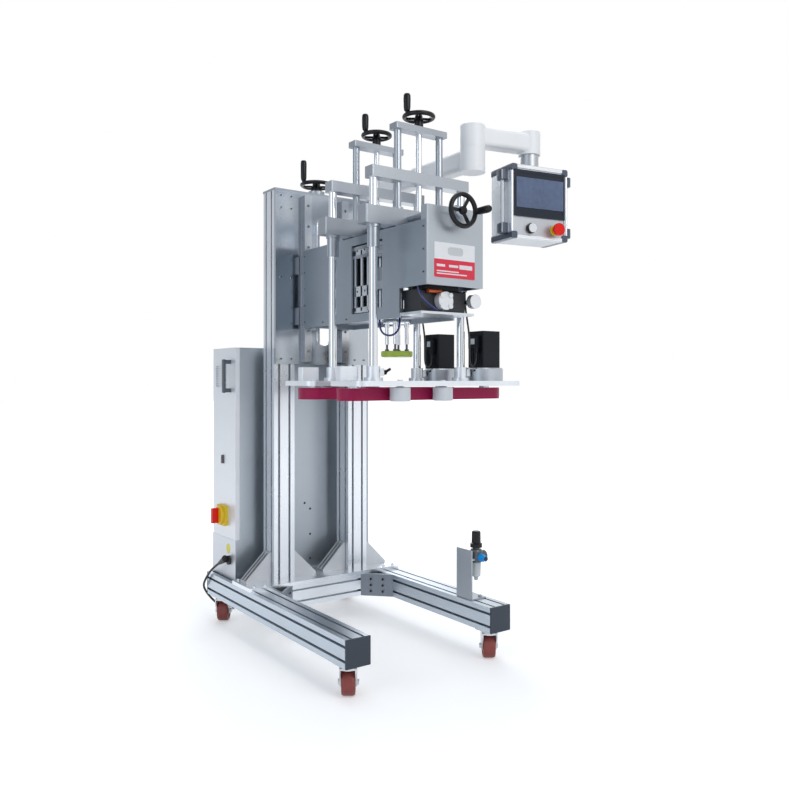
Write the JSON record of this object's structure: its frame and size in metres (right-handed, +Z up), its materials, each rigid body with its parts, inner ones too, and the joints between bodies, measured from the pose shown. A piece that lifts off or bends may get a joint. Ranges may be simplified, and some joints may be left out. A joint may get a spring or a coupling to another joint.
{
  "type": "screw capping machine",
  "caption": "Floor-standing bottle cap screwing machine: castor base of slotted profiles, lifting head with a spring-loaded friction disc, two gripping belt units, operator panel on an arm.",
  "frame": {"origin": "on the floor, straight below the capping spindle's axis", "axes": "+X along the bottle line towards the belt motors, -Y towards the front handwheel, +Z up"},
  "size_m": [0.8864, 1.2402, 1.737],
  "materials": {
    "anodised_aluminium": "silver anodised, fine drawn grain",
    "end_cap": "dark slate moulded plastic",
    "cast_bracket": "satin cast aluminium and zinc plate",
    "base_steel": "ground and plated steel",
    "polished_plate": "polished stainless steel",
    "rail_steel": "ground bearing steel",
    "sheet_steel": "brushed stainless sheet",
    "machined_aluminium": "machined and clear anodised",
    "bright_rod": "hard chromed ground bar",
    "black_metal": "satin black paint",
    "black_plastic": "black moulded plastic",
    "crimson_belt": "crimson gripping belt",
    "white_roller": "white engineering plastic",
    "lime_disc": "yellow-green polyurethane",
    "castor_wheel": "red-brown polyurethane",
    "white_paint": "white powder coat",
    "panel_metal": "pale aluminium profiles and face",
    "screen_glass": "black touch screen front",
    "red_button": "signal red plastic",
    "white_button": "white plastic",
    "door_steel": "brushed stainless sheet",
    "regulator_metal": "die cast body with blue fitting",
    "cable_black": "black cable sheath"
  },
  "bodies": {
    "base": {"base_profiles": "anodised_aluminium", "leg_end_caps": "end_cap", "base_brackets": "cast_bracket", "base_plate": "base_steel", "pillars": "anodised_aluminium", "back_plate": "polished_plate", "lift_rails": "rail_steel", "top_bridge": "machined_aluminium", "cabinet_shell": "sheet_steel", "regulator_bracket": "sheet_steel", "regulator_body": "regulator_metal", "mains_cord": "cable_black", "mains_coil": "cable_black", "mains_plug": "cable_black"},
    "lift_screw": {"lift_wheel": "black_plastic"},
    "head": {"head_side_panels": "sheet_steel", "front_cover": "sheet_steel", "head_frame": "machined_aluminium", "head_drives": "black_metal"},
    "width_screw": {"width_wheel": "black_plastic"},
    "crosshead_front": {"crosshead_front": "machined_aluminium"},
    "crosshead_rear": {"crosshead_rear": "machined_aluminium"},
    "height_screw_front": {"height_wheel_front": "black_plastic"},
    "unit_front": {"unit_frame_front": "machined_aluminium", "belt_front": "crimson_belt", "drive_motor_front": "black_metal", "motor_cable_front": "cable_black"},
    "drive_pulley_front": {"drive_pulley_front": "rail_steel"},
    "idler_pulley_front": {"idler_pulley_front": "rail_steel"},
    "guide_roller_front_1": {"guide_roller_front_1": "white_roller"},
    "guide_roller_front_2": {"guide_roller_front_2": "white_roller"},
    "height_screw_rear": {"height_wheel_rear": "black_plastic"},
    "unit_rear": {"unit_frame_rear": "machined_aluminium", "belt_rear": "crimson_belt", "drive_motor_rear": "black_metal", "motor_cable_rear": "cable_black"},
    "drive_pulley_rear": {"drive_pulley_rear": "rail_steel"},
    "idler_pulley_rear": {"idler_pulley_rear": "rail_steel"},
    "guide_roller_rear_1": {"guide_roller_rear_1": "white_roller"},
    "guide_roller_rear_2": {"guide_roller_rear_2": "white_roller"},
    "cap_carriage": {"cap_carriage": "machined_aluminium"},
    "cap_spindle": {"cap_spindle": "bright_rod"},
    "cap_disc": {"cap_disc": "lime_disc"},
    "arm_first": {"arm_first": "white_paint"},
    "arm_second": {"arm_second": "white_paint"},
    "panel": {"panel_box": "panel_metal", "panel_screen": "screen_glass"},
    "e_stop": {"e_stop": "red_button"},
    "push_button": {"push_button": "white_button"},
    "cabinet_door": {"cabinet_door": "door_steel"},
    "main_switch": {"main_switch": "red_button"},
    "regulator_knob": {"regulator_knob": "black_plastic"},
    "castor_fork_1": {"castor_fork_1": "rail_steel"},
    "castor_wheel_1": {"castor_wheel_1": "castor_wheel"},
    "castor_fork_2": {"castor_fork_2": "rail_steel"},
    "castor_wheel_2": {"castor_wheel_2": "castor_wheel"},
    "castor_fork_3": {"castor_fork_3": "rail_steel"},
    "castor_wheel_3": {"castor_wheel_3": "castor_wheel"},
    "castor_fork_4": {"castor_fork_4": "rail_steel"},
    "castor_wheel_4": {"castor_wheel_4": "castor_wheel"}
  },
  "joints": [
    {"name": "lift_screw_turn", "type": "hinge", "parent": "base", "child": "lift_screw", "pos_m": [0, 0.5, 1.3], "axis": [0, 0, 1], "range_deg": [-2161, 8641]},
    {"name": "head_lift", "type": "slide", "parent": "base", "child": "head", "axis": [0, 0, 1], "range_m": [-0.12, 0.03]},
    {"name": "width_screw_turn", "type": "hinge", "parent": "head", "child": "width_screw", "pos_m": [0, 0, 1.36], "axis": [0, 1, 0], "range_deg": [-2521, 3601]},
    {"name": "crosshead_front_slide", "type": "slide", "parent": "head", "child": "crosshead_front", "axis": [0, -1, 0], "range_m": [-0.028, 0.04]},
    {"name": "crosshead_rear_slide", "type": "slide", "parent": "head", "child": "crosshead_rear", "axis": [0, 1, 0], "range_m": [-0.0281, 0.0401]},
    {"name": "height_screw_front_turn", "type": "hinge", "parent": "crosshead_front", "child": "height_screw_front", "pos_m": [0, -0.1125, 1.5], "axis": [0, 0, 1], "range_deg": [-1081, 6481]},
    {"name": "unit_front_height", "type": "slide", "parent": "crosshead_front", "child": "unit_front", "axis": [0, 0, 1], "range_m": [-0.072, 0.012]},
    {"name": "drive_pulley_front_spin", "type": "hinge", "parent": "unit_front", "child": "drive_pulley_front", "pos_m": [0.262, -0.1125, 0.845], "axis": [0, 0, 1], "continuous": true},
    {"name": "idler_pulley_front_spin", "type": "hinge", "parent": "unit_front", "child": "idler_pulley_front", "pos_m": [-0.232, -0.1125, 0.845], "axis": [0, 0, 1], "continuous": true},
    {"name": "guide_roller_front_1_spin", "type": "hinge", "parent": "unit_front", "child": "guide_roller_front_1", "pos_m": [-0.125, -0.1903, 0.845], "axis": [0, 0, 1], "continuous": true},
    {"name": "guide_roller_front_2_spin", "type": "hinge", "parent": "unit_front", "child": "guide_roller_front_2", "pos_m": [0.03, -0.1903, 0.845], "axis": [0, 0, 1], "continuous": true},
    {"name": "height_screw_rear_turn", "type": "hinge", "parent": "crosshead_rear", "child": "height_screw_rear", "pos_m": [0, 0.1125, 1.5], "axis": [0, 0, 1], "range_deg": [-1081, 6481]},
    {"name": "unit_rear_height", "type": "slide", "parent": "crosshead_rear", "child": "unit_rear", "axis": [0, 0, 1], "range_m": [-0.072, 0.012]},
    {"name": "drive_pulley_rear_spin", "type": "hinge", "parent": "unit_rear", "child": "drive_pulley_rear", "pos_m": [0.262, 0.1125, 0.845], "axis": [0, 0, 1], "continuous": true},
    {"name": "idler_pulley_rear_spin", "type": "hinge", "parent": "unit_rear", "child": "idler_pulley_rear", "pos_m": [-0.232, 0.1125, 0.845], "axis": [0, 0, 1], "continuous": true},
    {"name": "guide_roller_rear_1_spin", "type": "hinge", "parent": "unit_rear", "child": "guide_roller_rear_1", "pos_m": [-0.125, 0.1903, 0.845], "axis": [0, 0, 1], "continuous": true},
    {"name": "guide_roller_rear_2_spin", "type": "hinge", "parent": "unit_rear", "child": "guide_roller_rear_2", "pos_m": [0.03, 0.1903, 0.845], "axis": [0, 0, 1], "continuous": true},
    {"name": "cap_stroke", "type": "slide", "parent": "head", "child": "cap_carriage", "axis": [0, 0, -1], "range_m": [0, 0.06]},
    {"name": "cap_spin", "type": "hinge", "parent": "cap_carriage", "child": "cap_spindle", "pos_m": [0, 0, 1.068], "axis": [0, 0, 1], "continuous": true},
    {"name": "cap_float", "type": "slide", "parent": "cap_spindle", "child": "cap_disc", "axis": [0, 0, 1], "range_m": [0, 0.012], "stiffness_N_per_m": 400, "springref_m": -0.006},
    {"name": "arm_swing", "type": "hinge", "parent": "base", "child": "arm_first", "pos_m": [0.226, 0.5, 1.585], "axis": [0, 0, 1], "range_deg": [0, 80]},
    {"name": "elbow_swing", "type": "hinge", "parent": "arm_first", "child": "arm_second", "pos_m": [0.222, -0.103, 1.65], "axis": [0, 0, 1], "range_deg": [-45, 50]},
    {"name": "panel_turn", "type": "hinge", "parent": "arm_second", "child": "panel", "pos_m": [0.43, -0.146, 1.6], "axis": [0, 0, 1], "range_deg": [-30, 30]},
    {"name": "e_stop_press", "type": "slide", "parent": "panel", "child": "e_stop", "axis": [0.1736, 0.9848, 0], "range_m": [0, 0.005], "stiffness_N_per_m": 300, "springref_m": -0.004},
    {"name": "push_button_press", "type": "slide", "parent": "panel", "child": "push_button", "axis": [0.1736, 0.9848, 0], "range_m": [0, 0.003], "stiffness_N_per_m": 200, "springref_m": -0.002},
    {"name": "cabinet_door_hinge", "type": "hinge", "parent": "base", "child": "cabinet_door", "pos_m": [-0.272, 0.772, 0.66], "axis": [0, 0, 1], "range_deg": [-110, 0]},
    {"name": "main_switch_turn", "type": "hinge", "parent": "cabinet_door", "child": "main_switch", "pos_m": [-0.292, 0.681, 0.4], "axis": [-1, 0, 0], "range_deg": [0, 90]},
    {"name": "regulator_knob_turn", "type": "hinge", "parent": "base", "child": "regulator_knob", "pos_m": [0.268, -0.068, 0.36], "axis": [0, 0, 1], "range_deg": [-360, 720]},
    {"name": "castor_swivel_1", "type": "hinge", "parent": "base", "child": "castor_fork_1", "pos_m": [-0.264, -0.135, 0.09], "axis": [0, 0, 1], "continuous": true},
    {"name": "castor_roll_1", "type": "hinge", "parent": "castor_fork_1", "child": "castor_wheel_1", "pos_m": [-0.25239, -0.11872, 0.0375], "axis": [0.8141, -0.5807, 0], "continuous": true},
    {"name": "castor_swivel_2", "type": "hinge", "parent": "base", "child": "castor_fork_2", "pos_m": [0.264, -0.135, 0.09], "axis": [0, 0, 1], "continuous": true},
    {"name": "castor_roll_2", "type": "hinge", "parent": "castor_fork_2", "child": "castor_wheel_2", "pos_m": [0.27561, -0.11872, 0.0375], "axis": [0.8141, -0.5807, 0], "continuous": true},
    {"name": "castor_swivel_3", "type": "hinge", "parent": "base", "child": "castor_fork_3", "pos_m": [-0.264, 0.726, 0.09], "axis": [0, 0, 1], "continuous": true},
    {"name": "castor_roll_3", "type": "hinge", "parent": "castor_fork_3", "child": "castor_wheel_3", "pos_m": [-0.25239, 0.74228, 0.0375], "axis": [0.8141, -0.5807, 0], "continuous": true},
    {"name": "castor_swivel_4", "type": "hinge", "parent": "base", "child": "castor_fork_4", "pos_m": [0.264, 0.726, 0.09], "axis": [0, 0, 1], "continuous": true},
    {"name": "castor_roll_4", "type": "hinge", "parent": "castor_fork_4", "child": "castor_wheel_4", "pos_m": [0.27561, 0.74228, 0.0375], "axis": [0.8141, -0.5807, 0], "continuous": true}
  ],
  "couplings": [
    {"joint": "lift_screw_turn", "follows": "head_lift", "rad_per_m": -1256.6},
    {"joint": "width_screw_turn", "follows": "crosshead_front_slide", "rad_per_m": 1570.8},
    {"joint": "crosshead_rear_slide", "follows": "crosshead_front_slide", "ratio": 1},
    {"joint": "height_screw_front_turn", "follows": "unit_front_height", "rad_per_m": -1570.8},
    {"joint": "idler_pulley_front_spin", "follows": "drive_pulley_front_spin", "ratio": 1},
    {"joint": "guide_roller_front_1_spin", "follows": "drive_pulley_front_spin", "ratio": -1.5254},
    {"joint": "guide_roller_front_2_spin", "follows": "drive_pulley_front_spin", "ratio": -1.5254},
    {"joint": "height_screw_rear_turn", "follows": "unit_rear_height", "rad_per_m": -1570.8},
    {"joint": "idler_pulley_rear_spin", "follows": "drive_pulley_rear_spin", "ratio": 1},
    {"joint": "guide_roller_rear_1_spin", "follows": "drive_pulley_rear_spin", "ratio": -1.5254},
    {"joint": "guide_roller_rear_2_spin", "follows": "drive_pulley_rear_spin", "ratio": -1.5254}
  ]
}
